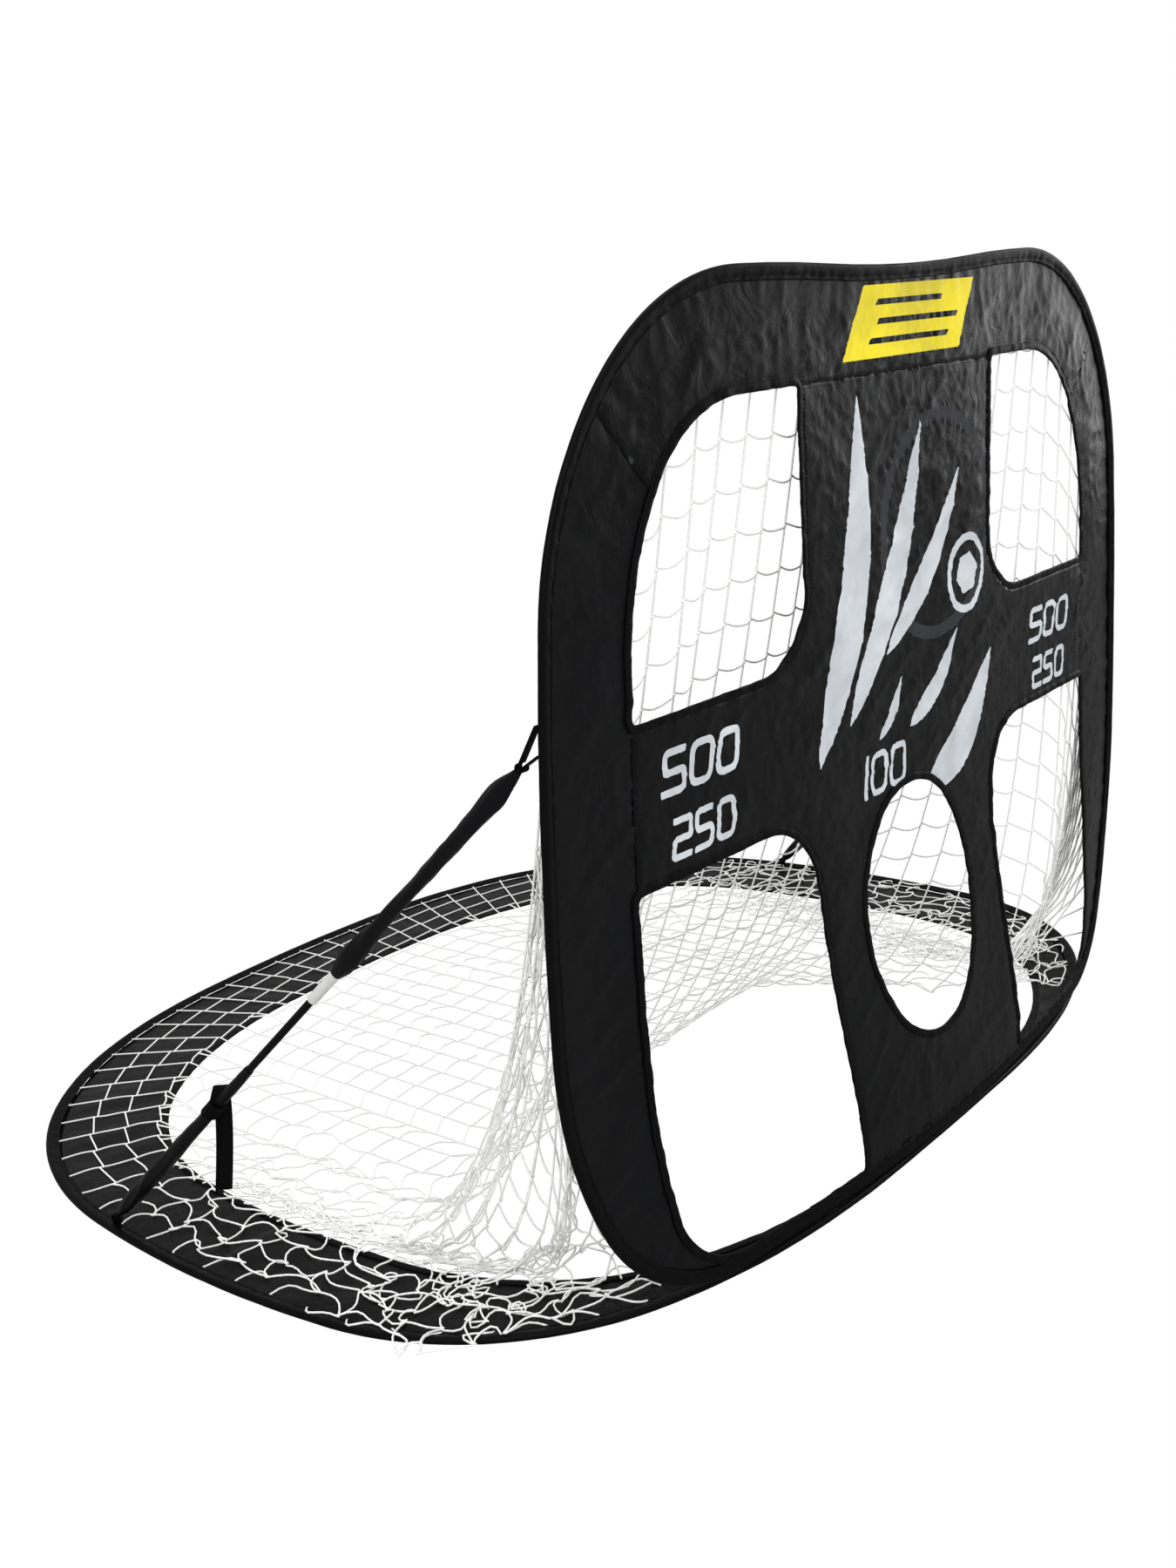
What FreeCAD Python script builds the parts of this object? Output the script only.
import FreeCAD, Part
import math
import os
from FreeCAD import Vector

# Pop-up target goal. Two sprung hoops in cloth sleeves, one lying on the floor and one standing on its
# front edge, are held square by a jointed pole at each side. A target cloth fills the upright hoop, a cloth
# border rings the floor hoop, and a slack net hangs from one to the other.
# X runs along the goal mouth, the mouth looks along -Y, and Z is up. The origin is at the middle of the
# footprint.

# Overall sizes
faceWidth = 1218.0
faceHeight = 972.0
crownDip = 9.0
baseWidth = 1410.0
totalDepth = 1160.0
widestFromFront = 518.0
frontSquareness = 3.0
rearSquareness = 2.6

# Sprung hoop of flat steel, its joining clip and the sleeve sewn round it
springWidth = 3.6
springThickness = 1.6
springClearance = 0.3
springRuns = 60
springStationGap = 150.0
spliceLength = 46.0
spliceWall = 0.8
spliceSlack = 0.6
sleeveWidth = 16.0
wireInset = 4.0
sleeveThickness = 7.0
sleeveNoseHalf = 2.6
sleeveNoseTip = 1.6
casingInset = 5.0
seamThickness = 2.6
sewnGap = 0.3
hoopStagger = 2.0

# Upright face: it bows forward at the floor, flattens upward and leans a little forward
bowLow = 74.0
bowHigh = 14.0
bowFade = 240.0
faceLean = 0.0232
bowLevels = [-20.0, 60.0, 120.0, 180.0, 240.0, 310.0, 400.0, 540.0, 992.0]
bottomRun = 400.0
bulgeHeight = 315.0
shoulderHalf = 590.0
shoulderHeight = 690.0
shoulderHeading = 96.0
crownHalf = 300.0
outlineSamples = 1600
stationSteps = 4
slabMargin = 6.0

# Cloth panels, edge bindings and the five target holes
clothThickness = 1.2
bindingWidth = 8.0
bindingThickness = 2.8
fieldHalf = 486.0
fieldSideHeight = 240.0
fieldUpperHalf = 476.0
fieldUpperHeight = 640.0
fieldUpperHeading = 93.0
fieldTop = 857.0
fieldCrownHalf = 300.0
fieldBottomRun = 385.0
fieldBottomAboveSeam = 3.0
columnHalfTop = 205.0
columnHalfMiddle = 200.0
columnHalfFoot = 190.0
bandLow = 424.0
bandHigh = 585.0
shoulderRadius = 84.0
shoulderLap = 4.0
ovalHalfWidth = 114.0
ovalLow = 122.0
ovalHigh = 407.0
mitreInner = (437.0, 790.0)
mitreOuter = (501.0, 864.0)
mitreRunIn = 3
mitreRunOut = 2
hemHeight = 6.0

# Floor border
borderHalfWidth = 574.0
borderRearWidth = 152.0
borderFrontStrip = 12.0
borderLow = 0.7

# Net: the flat skirt on the border and the hanging part
skirtThickness = 1.7
meshCord = 4.0
skirtRows = 3
skirtColumns = 40
skirtFrontAngle = 24.0
skirtSeamGap = 2.0
netThickness = 2.4
netInset = 6.0
netFootOutset = 2.0
netFootGap = 1.3
netTopGap = 3.0
netLowest = 70.0
netFootSpan = 226.0
netStations = 36
netRuns = 7
netPull = 0.13
netDrop = 0.15
netFold = 9.0
netFoldEvery = 4
netRimSamples = 400

# Side poles: where they are sewn on, and the lengths along them from the upper end
poleUpperHeight = 600.0
poleUpperSetBack = 26.0
poleLowerFromFront = 679.0
poleLowerInset = 11.0
poleLowerHeight = 14.0
rodRadius = 4.0
rodClearance = 0.25
upperSleeveLength = 317.0
ferruleLength = 47.0
ferruleRadius = 5.6
bareRodLength = 158.0
partingGap = 1.0
clothEndLength = 12.0
clothSides = 8

# Cloth tubes over the poles: distance from the end, half width across, half depth
upperSleeveShape = [(0, 2.9, 3.0), (30, 7.2, 11.0), (95, 6.6, 8.0), (237, 6.3, 7.0), (289, 10.0, 12.5),
                    (317, 6.4, 7.0)]
pocketShape = [(0, 9.5, 6.8), (90, 8.2, 6.4), (222, 10.0, 7.0), (252, 3.0, 3.0)]

# Pivot tabs of the poles, and the strap round each pocket
barrelRadius = 3.2
barrelLength = 10.0
barrelSides = 16
neckThickness = 1.8
neckLength = 5.0
tabHalfHeight = 14.0
tabNarrowHalf = 4.0
tabThickness = 2.0
webWidth = 8.0
webFoot = 5.6
strapFromMouth = 10.0
strapWidth = 22.0
strapThickness = 1.6
strapHalfWidth = 9.7
strapHalfDepth = 7.1
strapTailLength = 135.0
strapTailWidth = 20.0
strapTailAbove = 12.0

# Places that follow from the sizes above
frontY = -totalDepth / 2
widestY = frontY + widestFromFront
facePathHalf = faceWidth / 2 - wireInset
facePathBottom = sleeveThickness + sewnGap + wireInset
facePathTop = faceHeight - wireInset
faceEdgeY = frontY + sleeveThickness / 2 + bowLow
seamInset = sleeveWidth - wireInset
seamTop = facePathBottom + seamInset
basePathFront = frontY + sleeveThickness / 2 + hoopStagger


def save(name, shape):
    shape.exportStep("parts/" + name + ".step")
    box = shape.BoundBox
    print(name, len(shape.Solids), "solids", round(shape.Volume / 1000, 1), "cm3", shape.isValid(),
          "z", round(box.ZMin, 1), round(box.ZMax, 1))


def arcEdge(start, tangent, end):
    # An arc that leaves start along tangent and reaches end; a line where the two are in line
    chord = end - start
    along = Vector(chord).normalize()
    across = tangent - along * tangent.dot(along)
    if across.Length < 1e-5:
        return Part.LineSegment(start, end).toShape()
    turn = math.atan2(across.Length, tangent.dot(along))
    rise = chord.Length / 2 * math.tan(turn / 2)
    middle = (start + end) * 0.5 + across.normalize() * rise
    return Part.Arc(start, middle, end).toShape()


def biarcEdges(start, startTangent, end, endTangent):
    # Two arcs that share a tangent where they meet
    chord = end - start
    both = startTangent + endTangent
    spread = 2 * (1 - startTangent.dot(endTangent))
    reach = chord.dot(both)
    if spread < 1e-6:
        length = chord.Length ** 2 / (2 * reach)
    else:
        length = (math.sqrt(reach ** 2 + spread * chord.Length ** 2) - reach) / spread
    middle = (start + end + (startTangent - endTangent) * length) * 0.5
    first = arcEdge(start, startTangent, middle)
    second = arcEdge(end, endTangent * -1, middle)
    return [first, second]


def closedPath(stations):
    edges = []
    for index, (point, tangent) in enumerate(stations):
        nextPoint, nextTangent = stations[(index + 1) % len(stations)]
        edges += biarcEdges(point, tangent, nextPoint, nextTangent)
    return Part.Wire(Part.__sortEdges__(edges))


def ovalStation(angle, halfWidth, frontReach, rearReach, height):
    # A squared oval about the widest line of the base, fuller in front than behind
    side = math.cos(angle)
    ahead = math.sin(angle)
    reach = rearReach if ahead > 0 else frontReach
    power = rearSquareness if ahead > 0 else frontSquareness
    radius = ((abs(side) / halfWidth) ** power + (abs(ahead) / reach) ** power) ** (-1 / power)
    x = radius * side
    y = radius * ahead
    slopeX = math.copysign(abs(x) ** (power - 1) / halfWidth ** power, x)
    slopeY = math.copysign(abs(y) ** (power - 1) / reach ** power, y)
    return Vector(x, widestY + y, height), Vector(-slopeY, slopeX, 0).normalize()


def ovalWire(halfWidth, frontReach, rearReach, height):
    # The stations start at the front and are closer together round the corners
    turns = [-90, -58, -30, 0, 30, 58]
    angles = turns + [turn + 180 for turn in turns]
    stations = [ovalStation(math.radians(a), halfWidth, frontReach, rearReach, height) for a in angles]
    return closedPath(stations)


basePathHalf = baseWidth / 2 - wireInset
basePathFrontReach = widestY - basePathFront
basePathRearReach = totalDepth / 2 - wireInset - widestY
borderFrontReach = basePathFrontReach - seamInset - borderFrontStrip
borderRearReach = totalDepth / 2 - borderRearWidth - widestY


def arcY(x, z):
    # Across the mouth the upright surface is an arc whose bow fades with height
    bow = bowHigh + (bowLow - bowHigh) * math.exp(-(z / bowFade) ** 2)
    radius = (facePathHalf ** 2 + bow ** 2) / (2 * bow)
    return faceEdgeY - faceLean * z - bow + radius - math.sqrt(radius ** 2 - x ** 2)


def faceY(x, z):
    # The surface runs straight up from one level of arcs to the next
    for low, high in zip(bowLevels, bowLevels[1:]):
        if z <= high:
            share = (z - low) / (high - low)
            return arcY(x, low) * (1 - share) + arcY(x, high) * share
    return arcY(x, z)


def flatStations(rightHalf):
    # Stations of a symmetric outline, from its lowest middle point round both sides
    right = []
    for x, z, heading in rightHalf:
        turn = math.radians(heading)
        right.append((Vector(x, 0, z), Vector(math.cos(turn), 0, math.sin(turn))))
    left = [(Vector(-p.x, 0, p.z), Vector(t.x, 0, -t.z)) for p, t in reversed(right[1:-1])]
    return right + left


def faceOutline():
    return closedPath(flatStations([
        (0, facePathBottom, 0),
        (bottomRun, facePathBottom, 0),
        (facePathHalf, bulgeHeight, 90),
        (shoulderHalf - wireInset, shoulderHeight, shoulderHeading),
        (crownHalf, facePathTop, 180),
        (0, facePathTop - crownDip, 180),
    ]))


def fieldOutline():
    return closedPath(flatStations([
        (0, seamTop + fieldBottomAboveSeam, 0),
        (fieldBottomRun, seamTop + fieldBottomAboveSeam, 0),
        (fieldHalf, fieldSideHeight, 90),
        (fieldUpperHalf, fieldUpperHeight, fieldUpperHeading),
        (fieldCrownHalf, fieldTop, 180),
        (0, fieldTop, 180),
    ]))


def liftedPath(flatWire, spacing):
    # The flat outline carried onto the bowed face, again as tangent arcs
    edges = flatWire.Edges
    ordered = Part.__sortEdges__(edges)
    count = int(sum(edge.Length for edge in ordered) / spacing)
    points = Part.Wire(ordered).discretize(Number=stationSteps * count + 1)[:-1]
    stations = []
    for index in range(0, len(points), stationSteps):
        here = points[index]
        before = points[index - 1]
        after = points[(index + 1) % len(points)]
        lifted = [Vector(p.x, faceY(p.x, p.z), p.z) for p in (before, here, after)]
        stations.append((lifted[1], (lifted[2] - lifted[0]).normalize()))
    return stations


def polygonWire(points):
    return Part.makePolygon(points + [points[0]])


def sweepRing(path, profile):
    sweep = Part.BRepOffsetAPI.MakePipeShell(path)
    sweep.add(profile)
    sweep.build()
    sweep.makeSolid()
    return sweep.shape()


def sleeveSection():
    # Width inward from the spring against height: a nose round it, tapering to the sewn edge, flat below
    half = sleeveThickness / 2
    nose = sleeveNoseHalf
    return [(-wireInset, -sleeveNoseTip), (-nose, -half), (seamInset, -half),
            (seamInset, seamThickness - half), (nose, half), (-nose, half), (-wireInset, sleeveNoseTip)]


def springRing(path, outward, grow):
    # The flat spring in short straight runs, standing with its width along outward
    points = path.discretize(Number=springRuns + 1)[:-1]
    wide = springThickness / 2 + grow
    high = springWidth / 2 + grow
    sections = []
    for index, here in enumerate(points):
        along = (points[(index + 1) % len(points)] - points[index - 1]).normalize()
        inward = outward.cross(along).normalize() * wide
        upward = outward * high
        sections.append(polygonWire([here - inward - upward, here + inward - upward,
                                     here + inward + upward, here - inward + upward]))
    return Part.makeLoft(sections, True, True, True)


def spliceBox(centre, inward, outward, wall, length):
    wide = inward * (springThickness / 2 + spliceSlack + wall)
    high = outward * (springWidth / 2 + springClearance + wall)
    corners = [centre - wide - high, centre + wide - high, centre + wide + high, centre - wide + high]
    block = Part.Face(polygonWire(corners)).extrude(Vector(length, 0, 0))
    block.translate(Vector(-length / 2, 0, 0))
    return block


def spliceClip(centre, inward, outward):
    outer = spliceBox(centre, inward, outward, spliceWall, spliceLength)
    return outer.cut(spliceBox(centre, inward, outward, 0, spliceLength))


def spliceRoom(centre, inward, outward):
    length = spliceLength + 2 * springClearance
    return spliceBox(centre, inward, outward, spliceWall + springClearance, length)


def flatRing(outerWire, innerWire, low, thickness):
    # A flat ring between two outlines drawn on the floor
    ring = Part.Face(outerWire).cut(Part.Face(innerWire)).extrude(Vector(0, 0, thickness))
    ring.translate(Vector(0, 0, low))
    return ring


def baseHoop():
    path = ovalWire(basePathHalf, basePathFrontReach, basePathRearReach, sleeveThickness / 2)
    start = Vector(0, basePathFront, sleeveThickness / 2)
    rear = Vector(0, totalDepth / 2 - wireInset, sleeveThickness / 2)
    inward = Vector(0, 1, 0)
    upward = Vector(0, 0, 1)
    cloth = sweepRing(path, polygonWire([start + inward * a + upward * b for a, b in sleeveSection()]))
    bore = springRing(path, upward, springClearance)
    save("base_hoop_spring", springRing(path, upward, 0))
    save("base_hoop_splice", spliceClip(rear, inward, upward))
    save("base_sleeve", cloth.cut(bore).cut(spliceRoom(rear, inward, upward)))


def borderInner(grow):
    return ovalWire(borderHalfWidth + grow, borderFrontReach + grow, borderRearReach + grow, 0)


def floorBorder():
    # The cloth ring on the floor with a thicker bound edge round its opening
    seam = ovalWire(basePathHalf, basePathFrontReach, basePathRearReach, 0).makeOffset2D(-seamInset - sewnGap)
    cloth = flatRing(seam, borderInner(bindingWidth), borderLow, clothThickness)
    binding = flatRing(borderInner(bindingWidth), borderInner(0), 0, bindingThickness)
    save("floor_border", cloth.fuse(binding))


def skirtPoint(angle, share, height):
    # A point between the border's inner edge and its outer seam, share of the way out
    inner, _ = ovalStation(angle, borderHalfWidth, borderFrontReach, borderRearReach, height)
    outset = seamInset + skirtSeamGap
    outer, _ = ovalStation(angle, basePathHalf - outset, basePathFrontReach - outset,
                           basePathRearReach - outset, height)
    return inner + (outer - inner) * share


def netSkirt():
    # The flat part of the net: one holed face, its meshes in rows along the border
    low = bindingThickness + sewnGap
    first = math.radians(-90 + skirtFrontAngle)
    last = math.radians(270 - skirtFrontAngle)
    step = (last - first) / skirtColumns
    turns = [first + step * index for index in range(skirtColumns + 1)]
    rim = [skirtPoint(a, 0, low) for a in turns] + [skirtPoint(a, 1, low) for a in reversed(turns)]
    wires = [polygonWire(rim)]
    for column in range(skirtColumns):
        span = (skirtPoint(turns[column + 1], 0.5, low) - skirtPoint(turns[column], 0.5, low)).Length
        depth = (skirtPoint(turns[column], 1, low) - skirtPoint(turns[column], 0, low)).Length
        sideCord = meshCord / 2 / span * step
        rowCord = meshCord / 2 / depth
        for row in range(skirtRows):
            near = turns[column] + sideCord
            far = turns[column + 1] - sideCord
            inner = row / skirtRows + rowCord
            outer = (row + 1) / skirtRows - rowCord
            wires.append(polygonWire([skirtPoint(near, inner, low), skirtPoint(far, inner, low),
                                      skirtPoint(far, outer, low), skirtPoint(near, outer, low)]))
    face = Part.makeFace(wires, "Part::FaceMakerBullseye")
    save("net_skirt", face.extrude(Vector(0, 0, skirtThickness)))


def netStrand(top, foot, outward, fold):
    # One strand of the hanging net sags from the face down to the border: points of its two sides
    pull = top + (foot - top) * netPull
    pull.z = top.z * netDrop + foot.z
    inner = []
    for step in range(netRuns + 1):
        share = step / netRuns
        rounded = top * (1 - share) ** 2 + pull * (2 * share * (1 - share)) + foot * share ** 2
        inner.append(rounded + outward * (fold * math.sin(math.pi * share)))
    return inner, [point + outward * netThickness for point in inner]


def twoTriangles(a, b, c, d):
    return [Part.Face(polygonWire([a, c, b])), Part.Face(polygonWire([a, d, c]))]


def rimTurn(point):
    # Grows clockwise from straight down: the left side first, then the crown, then the right side
    return math.atan2(-point.x, faceHeight / 2 - point.z) % (2 * math.pi)


def netCanopy(flatWire):
    # Flat triangles between neighbouring strands, on both sides, closed along all four edges
    rim = flatWire.makeOffset2D(-seamInset - netInset)
    points = [p for p in rim.discretize(Number=netRimSamples) if p.z > netLowest]
    points.sort(key=rimTurn)
    footZ = bindingThickness + sewnGap + skirtThickness + netFootGap
    footHalf = borderHalfWidth + netFootOutset
    footFront = borderFrontReach + netFootOutset
    footRear = borderRearReach + netFootOutset
    back = clothThickness / 2 + netTopGap
    tops = []
    feet = []
    for index in range(netStations + 1):
        share = index / netStations
        flat = points[round(share * (len(points) - 1))]
        tops.append(Vector(flat.x, faceY(flat.x, flat.z) + back, flat.z))
        angle = math.radians(90 + netFootSpan / 2 - netFootSpan * share)
        feet.append(ovalStation(angle, footHalf, footFront, footRear, footZ)[0])
    strands = []
    for index, (top, foot) in enumerate(zip(tops, feet)):
        before = max(index - 1, 0)
        after = min(index + 1, netStations)
        across = tops[after] - tops[before] + feet[after] - feet[before]
        outward = across.cross(foot - top).normalize()
        fold = netFold * round(math.cos(2 * math.pi * index / netFoldEvery))
        strands.append(netStrand(top, foot, outward, fold))
    faces = []
    for (inner, outer), (nextInner, nextOuter) in zip(strands, strands[1:]):
        for step in range(netRuns):
            faces += twoTriangles(inner[step], inner[step + 1], nextInner[step + 1], nextInner[step])
            faces += twoTriangles(outer[step], nextOuter[step], nextOuter[step + 1], outer[step + 1])
        faces += twoTriangles(inner[0], nextInner[0], nextOuter[0], outer[0])
        faces += twoTriangles(inner[-1], outer[-1], nextOuter[-1], nextInner[-1])
    for step in range(netRuns):
        inner, outer = strands[0]
        faces += twoTriangles(inner[step], outer[step], outer[step + 1], inner[step + 1])
        inner, outer = strands[-1]
        faces += twoTriangles(inner[step], inner[step + 1], outer[step + 1], outer[step])
    save("net_canopy", Part.makeSolid(Part.makeShell(faces)))


def faceSlab(thickness):
    # A thin bowed sheet larger than the face, from which every panel is taken
    half = faceWidth / 2 + slabMargin
    shift = Vector(0, thickness / 2, 0)
    wires = []
    for z in bowLevels:
        corners = [Vector(x, arcY(x, z), z) for x in (-half, 0, half)]
        front = [corner - shift for corner in corners]
        rear = [corner + shift for corner in corners]
        wires.append(Part.Wire([Part.Arc(*front).toShape(), Part.LineSegment(front[2], rear[2]).toShape(),
                                Part.Arc(*reversed(rear)).toShape(),
                                Part.LineSegment(rear[0], front[0]).toShape()]))
    return Part.makeLoft(wires, True, True)


def flatFace(corners):
    return Part.Face(polygonWire([Vector(x, 0, z) for x, z in corners]))


def crossFace(footZ):
    # Target cloth seen from the front: a centre column and a cross band with rounded shoulders
    middle = (bandLow + bandHigh) / 2
    column = []
    for side in (1, -1):
        edge = [(columnHalfFoot * side, footZ), (columnHalfMiddle * side, bandLow),
                (columnHalfMiddle * side, bandHigh), (columnHalfTop * side, fieldTop)]
        column += edge if side > 0 else edge[::-1]
    cross = flatFace(column).fuse(flatFace([(-faceWidth, bandLow), (faceWidth, bandLow),
                                            (faceWidth, bandHigh), (-faceWidth, bandHigh)]))
    for side in (1, -1):
        for edge, away in ((bandLow, -1), (bandHigh, 1)):
            inset = columnHalfMiddle - shoulderLap
            corner = flatFace([(side * inset, middle), (side * (columnHalfMiddle + shoulderRadius), middle),
                               (side * (columnHalfMiddle + shoulderRadius), edge + away * shoulderRadius),
                               (side * inset, edge + away * shoulderRadius)])
            centre = Vector(side * (columnHalfMiddle + shoulderRadius), 0, edge + away * shoulderRadius)
            circle = Part.Face(Part.Wire(Part.makeCircle(shoulderRadius, centre, Vector(0, 1, 0))))
            cross = cross.fuse(corner.cut(circle))
    return cross.removeSplitter()


def ovalHole(grow):
    return Part.Face(closedPath(flatStations([
        (0, ovalLow - grow, 0),
        (ovalHalfWidth + grow, (ovalHigh + ovalLow) / 2, 90),
        (0, ovalHigh + grow, 180),
    ])))


def prism(face):
    # A panel's outline carried right through the bowed sheet
    block = face.copy()
    block.translate(Vector(0, frontY - bowLow, 0))
    return block.extrude(Vector(0, bowLow * 3, 0))


def facePanels(flatWire):
    # The panels are cut side by side out of one bowed sheet, so their seams meet edge to edge
    seamFace = Part.Face(flatWire.makeOffset2D(-seamInset - sewnGap))
    field = Part.Face(fieldOutline())
    cross = crossFace(0)
    holes = field.cut(cross).Faces
    hemTop = seamTop + hemHeight
    foot = flatFace([(-columnHalfFoot, 0), (columnHalfFoot, 0), (columnHalfFoot, hemTop),
                     (-columnHalfFoot, hemTop)])
    frame = seamFace.cut(field)
    lineX = mitreOuter[0] - mitreInner[0]
    lineZ = mitreOuter[1] - mitreInner[1]
    low = (mitreInner[0] - lineX * mitreRunIn, mitreInner[1] - lineZ * mitreRunIn)
    high = (mitreOuter[0] + lineX * mitreRunOut, mitreOuter[1] + lineZ * mitreRunOut)
    wedge = flatFace([(-low[0], low[1]), low, high, (-high[0], high[1])])
    rims = [Part.Face(hole.OuterWire.makeOffset2D(bindingWidth)) for hole in holes]
    rims.append(ovalHole(bindingWidth))
    thin = faceSlab(clothThickness)
    thick = faceSlab(bindingThickness)

    def panel(shape):
        for rim in rims:
            shape = shape.cut(rim)
        return thin.common(prism(shape))

    save("top_border", panel(frame.common(wedge)))
    sides = frame.cut(wedge).cut(foot)
    for name, side in (("left", -1), ("right", 1)):
        half = flatFace([(columnHalfFoot * side, 0), (faceWidth * side, 0), (faceWidth * side, faceHeight),
                         (columnHalfFoot * side, faceHeight)])
        save("side_border_" + name, panel(sides.common(half)))
    target = field
    for hole in holes:
        target = target.cut(hole)
    hem = foot.common(seamFace).cut(field)
    cloth = panel(target).fuse(panel(hem))
    for hole, rim in zip(holes, rims):
        cloth = cloth.fuse(thick.common(prism(rim.common(seamFace).cut(hole))))
    cloth = cloth.fuse(thick.common(prism(rims[-1].cut(ovalHole(0)))))
    save("target_cloth", cloth.removeSplitter())


def faceRing(flatWire, outer, inner, thickness):
    # A ring that follows the upright hoop, between two distances inward of its spring, on the bowed surface
    ring = Part.Face(flatWire.makeOffset2D(-outer)).cut(Part.Face(flatWire.makeOffset2D(-inner)))
    return faceSlab(thickness).common(prism(ring))


def faceHoop(flatWire):
    path = closedPath(liftedPath(flatWire, springStationGap))
    topZ = facePathTop - crownDip
    crown = Vector(0, faceY(0, topZ), topZ)
    inward = Vector(0, 0, 1)
    forward = Vector(0, 1, 0)
    casing = faceRing(flatWire, -wireInset, casingInset, sleeveThickness)
    seam = faceRing(flatWire, casingInset, seamInset, seamThickness)
    bore = springRing(path, forward, springClearance)
    sleeve = casing.fuse(seam).cut(bore).cut(spliceRoom(crown, inward, forward))
    save("face_hoop_spring", springRing(path, forward, 0))
    save("face_hoop_splice", spliceClip(crown, inward, forward))
    save("face_sleeve", sleeve)


def hoopHalf(height):
    # Half the width of the upright hoop at a height, to the middle of its wire
    points = [p for p in faceOutline().discretize(Number=outlineSamples) if p.x > 0]
    return min(points, key=lambda p: abs(p.z - height)).x


def poleEnds(side):
    # The two pivots of one pole, on the face and on the floor hoop
    x = hoopHalf(poleUpperHeight)
    upper = Vector(side * x, faceY(x, poleUpperHeight) + poleUpperSetBack, poleUpperHeight - poleUpperSetBack)
    y = frontY + poleLowerFromFront
    reach = (y - widestY) / basePathRearReach
    lowerX = basePathHalf * (1 - reach ** rearSquareness) ** (1 / rearSquareness) - poleLowerInset
    return upper, Vector(side * lowerX, y, poleLowerHeight)


def place(shape, start, direction):
    turned = FreeCAD.Placement(start, FreeCAD.Rotation(Vector(0, 0, 1), direction))
    return shape.transformed(turned.toMatrix())


def roundSection(across, depth, distance):
    # Corners of a flattened round with a few straight sides, across along X and depth along Y
    turns = [2 * math.pi * (side + 0.5) / clothSides for side in range(clothSides)]
    return [Vector(across * math.cos(t), depth * math.sin(t), distance) for t in turns]


def clothTube(sections, boreFrom, boreTo):
    # A gathered cloth tube through flattened rounds, (distance, half width across, half depth)
    rounds = [roundSection(across, depth, distance) for distance, across, depth in sections]
    faces = [Part.Face(polygonWire(rounds[0])), Part.Face(polygonWire(rounds[-1]))]
    for low, high in zip(rounds, rounds[1:]):
        for side in range(clothSides):
            after = (side + 1) % clothSides
            faces += twoTriangles(low[side], high[side], high[after], low[after])
    tube = Part.makeSolid(Part.makeShell(faces))
    bore = Part.makeCylinder(rodRadius + rodClearance, boreTo - boreFrom, Vector(0, 0, boreFrom))
    return tube.cut(bore)


def ferrule(low):
    tube = Part.makeCylinder(ferruleRadius, ferruleLength, Vector(0, 0, low))
    return tube.cut(Part.makeCylinder(rodRadius + rodClearance, ferruleLength, Vector(0, 0, low)))


def upperTab(pivot, direction):
    # A webbing gusset sewn behind the hoop sleeve; its rolled end is the upper pivot
    x = pivot.x
    back = faceY(x, poleUpperHeight - tabHalfHeight) + sleeveThickness / 2 + sewnGap
    across = Vector(0, -direction.z, direction.y).normalize()
    along = Vector(0, direction.y, direction.z).normalize()
    neckStart = pivot - along * (barrelRadius + neckLength)
    corners = [Vector(x, back, poleUpperHeight + tabHalfHeight), neckStart + across * tabNarrowHalf,
               neckStart - across * tabNarrowHalf, Vector(x, back, poleUpperHeight - tabHalfHeight)]
    gusset = Part.Face(polygonWire(corners)).extrude(Vector(tabThickness, 0, 0))
    gusset.translate(Vector(-tabThickness / 2, 0, 0))
    neck = [neckStart + across * neckThickness / 2, pivot + across * neckThickness / 2,
            pivot - across * neckThickness / 2, neckStart - across * neckThickness / 2]
    link = Part.Face(polygonWire(neck)).extrude(Vector(tabThickness, 0, 0))
    link.translate(Vector(-tabThickness / 2, 0, 0))
    return gusset.fuse(link).fuse(barrel(pivot))


def barrel(pivot):
    # The webbing rolled into a loop, drawn with flat sides
    corners = []
    for side in range(barrelSides):
        turn = 2 * math.pi * (side + 0.5) / barrelSides
        corners.append(pivot + Vector(-barrelLength / 2, barrelRadius * math.cos(turn),
                                      barrelRadius * math.sin(turn)))
    return Part.Face(polygonWire(corners)).extrude(Vector(barrelLength, 0, 0))


def lowerTab(pivot):
    # A short web standing on the floor sleeve's sewn edge, rolled at the top for the lower pivot
    web = Part.makeBox(webWidth, neckThickness, pivot.z - webFoot,
                       Vector(pivot.x - webWidth / 2, pivot.y - neckThickness / 2, webFoot))
    return web.fuse(barrel(pivot))


def upperPole(start):
    # From the pivot: the gathered cloth sleeve, the rod in it, and the ferrule past its end
    sleeveEnd = start + upperSleeveLength
    rodTop = start + clothEndLength + sewnGap
    rodEnd = sleeveEnd + ferruleLength / 2
    sections = [(start + distance, across, depth) for distance, across, depth in upperSleeveShape]
    return {
        "pole_upper_sleeve_": clothTube(sections, start + clothEndLength, sleeveEnd),
        "pole_upper_rod_": Part.makeCylinder(rodRadius, rodEnd - rodTop, Vector(0, 0, rodTop)),
        "pole_ferrule_": ferrule(sleeveEnd + sewnGap),
    }


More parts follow.
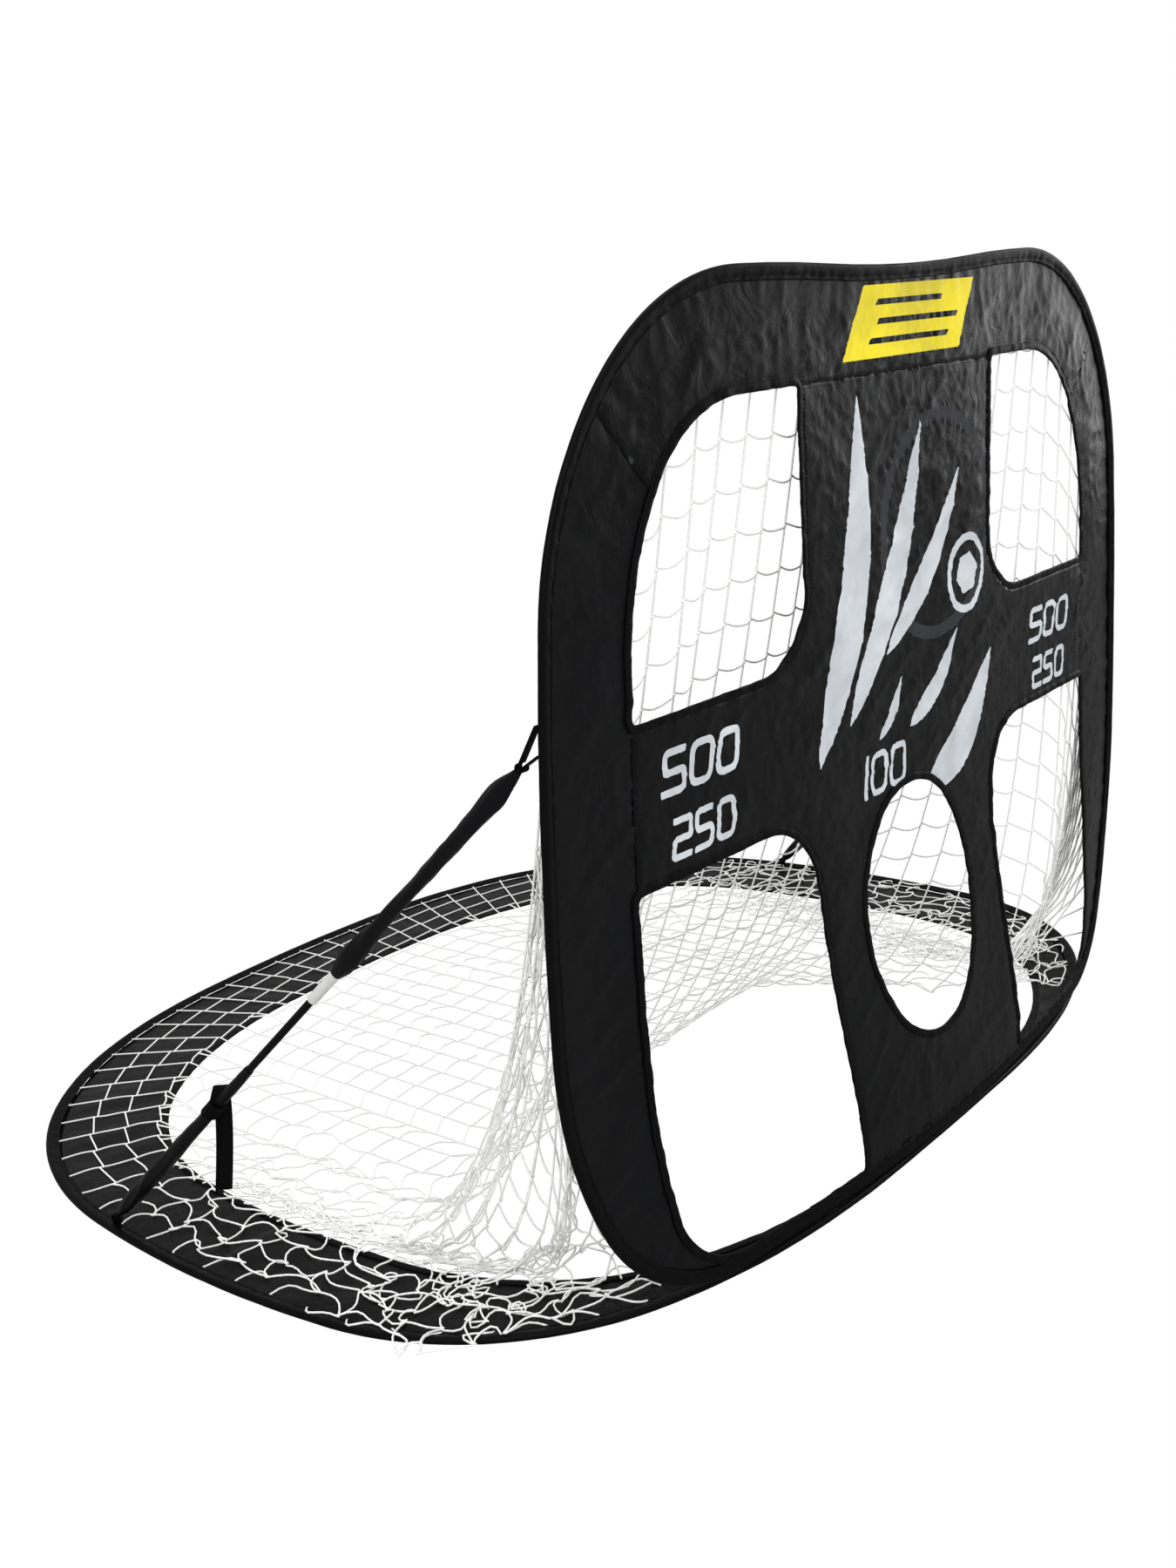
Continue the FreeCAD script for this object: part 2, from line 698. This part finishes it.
def lowerPole(ferruleEnd, end):
    # The bare rod below the ferrule and the cloth pocket that holds its end
    rodTop = ferruleEnd + partingGap
    mouth = ferruleEnd + bareRodLength
    boreEnd = end - clothEndLength
    rodEnd = boreEnd - sewnGap
    stretch = (end - mouth) / pocketShape[-1][0]
    sections = [(mouth + distance * stretch, across, depth) for distance, across, depth in pocketShape]
    return {
        "pole_lower_rod_": Part.makeCylinder(rodRadius, rodEnd - rodTop, Vector(0, 0, rodTop)),
        "pole_pocket_": clothTube(sections, mouth, boreEnd),
        "pole_strap_": strapWrap(mouth + strapFromMouth),
    }


def strapWrap(low):
    # Webbing wrapped once round the pocket
    outer = polygonWire(roundSection(strapHalfWidth + strapThickness, strapHalfDepth + strapThickness, low))
    inner = polygonWire(roundSection(strapHalfWidth, strapHalfDepth, low))
    return Part.Face(outer).cut(Part.Face(inner)).extrude(Vector(0, 0, strapWidth))


def strapTail(grip, side):
    # The loose end of the strap hangs straight down on the goal's side of the pole
    inside = grip.x - side * (strapHalfWidth + strapThickness + sewnGap)
    edge = inside - strapThickness if side > 0 else inside
    corner = Vector(edge, grip.y - strapTailWidth / 2, grip.z + strapTailAbove - strapTailLength)
    return Part.makeBox(strapThickness, strapTailWidth, strapTailLength, corner)


def sidePole(side, name):
    upper, lower = poleEnds(side)
    direction = (lower - upper).normalize()
    length = (lower - upper).Length
    clear = barrelRadius + sewnGap
    ferruleEnd = clear + upperSleeveLength + sewnGap + ferruleLength
    pieces = upperPole(clear)
    pieces.update(lowerPole(ferruleEnd, length - clear))
    for title, piece in pieces.items():
        save(title + name, place(piece, upper, direction))
    save("pole_upper_tab_" + name, upperTab(upper, direction))
    save("pole_lower_tab_" + name, lowerTab(lower))
    grip = upper + direction * (ferruleEnd + bareRodLength + strapFromMouth + strapWidth / 2)
    save("pole_strap_tail_" + name, strapTail(grip, side))


def main():
    os.makedirs("parts", exist_ok=True)
    baseHoop()
    floorBorder()
    netSkirt()
    flatWire = faceOutline()
    faceHoop(flatWire)
    facePanels(flatWire)
    netCanopy(flatWire)
    sidePole(-1, "left")
    sidePole(1, "right")


main()
